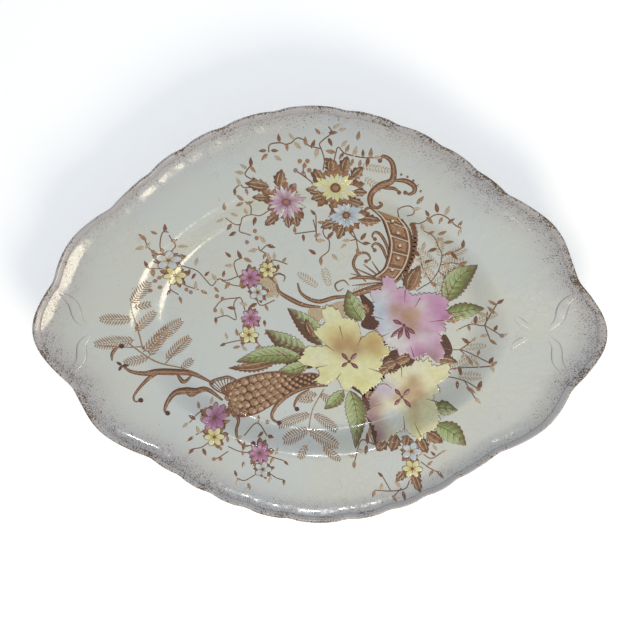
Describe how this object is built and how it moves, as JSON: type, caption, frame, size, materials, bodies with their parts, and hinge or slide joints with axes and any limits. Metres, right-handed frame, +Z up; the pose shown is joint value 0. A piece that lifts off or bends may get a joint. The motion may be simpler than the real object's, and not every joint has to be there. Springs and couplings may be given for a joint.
{
  "type": "china serving platter",
  "caption": "Oval china serving platter with moulded lug ends, a scalloped gilt lip, a foot ring, and brown printed and hand-enamelled flowers.",
  "frame": {"origin": "centre of the foot ring's standing plane, with the platter lying flat on its foot", "axes": "+X along the length to one lug, +Y across the width, +Z up out of the well"},
  "size_m": [0.4006, 0.3082, 0.0381],
  "materials": {
    "biscuit": "matte",
    "glaze": "gloss",
    "gilt": "satin",
    "brown_print": "gloss",
    "green_enamel": "gloss",
    "yellow_enamel": "gloss",
    "violet_enamel": "gloss",
    "cream_enamel": "gloss",
    "pink_enamel": "gloss",
    "blue_enamel": "gloss"
  },
  "bodies": {
    "root": {"biscuit_body": "biscuit", "foot_ring": "biscuit", "face_glaze": "glaze", "back_glaze": "glaze", "recess_glaze": "glaze", "lug_scroll_east": "glaze", "lug_scroll_west": "glaze", "gilt_lip": "gilt", "print_horn_basket": "brown_print", "print_coffered_scroll": "brown_print", "print_branch_scrolls": "brown_print", "print_ferns": "brown_print", "enamel_leaves": "green_enamel", "enamel_yellow_bloom": "yellow_enamel", "enamel_violet_bloom": "violet_enamel", "enamel_cream_bloom": "cream_enamel", "enamel_pink_aster": "pink_enamel", "enamel_yellow_aster": "yellow_enamel", "enamel_blue_aster": "blue_enamel", "enamel_small_blossoms": "pink_enamel"}
  },
  "joints": []
}
